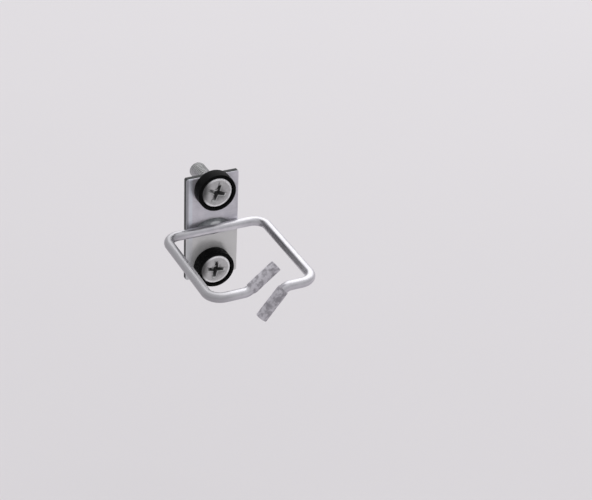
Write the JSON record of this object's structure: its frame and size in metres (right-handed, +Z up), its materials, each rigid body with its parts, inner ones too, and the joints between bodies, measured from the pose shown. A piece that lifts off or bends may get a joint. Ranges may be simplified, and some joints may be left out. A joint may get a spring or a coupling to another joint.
{
  "type": "rack d-ring cable hook",
  "caption": "Round wire D-ring welded across a small rack plate, with sleeved ends bent apart over its front gap, screwed on through plastic cup washers.",
  "frame": {"origin": "middle of the mounting plate's back face, where it lies on the rack rail", "axes": "+Y into the rail along the screws, so the ring stands out towards -Y; +X to the right; +Z up the rail"},
  "size_m": [0.041, 0.0623, 0.0458],
  "materials": {
    "plate_zinc": "zinc-plated sheet steel with a dull satin face and darker sheared edges",
    "wire_zinc": "bright zinc-plated drawn wire",
    "weld_steel": "plated weld bead with dark heat tint at its ends",
    "sleeve_grey": "matt grey plastic, faintly mottled",
    "washer_black": "black moulded nylon, satin",
    "screw_steel": "zinc-plated steel screw, turned head"
  },
  "bodies": {
    "root": {"mounting_plate": "plate_zinc", "wire_ring": "wire_zinc", "weld_upper": "weld_steel", "weld_lower": "weld_steel", "end_sleeve_left": "sleeve_grey", "end_sleeve_right": "sleeve_grey", "cup_washer_upper": "washer_black", "cup_washer_lower": "washer_black", "screw_upper": "screw_steel", "screw_lower": "screw_steel"}
  },
  "joints": []
}
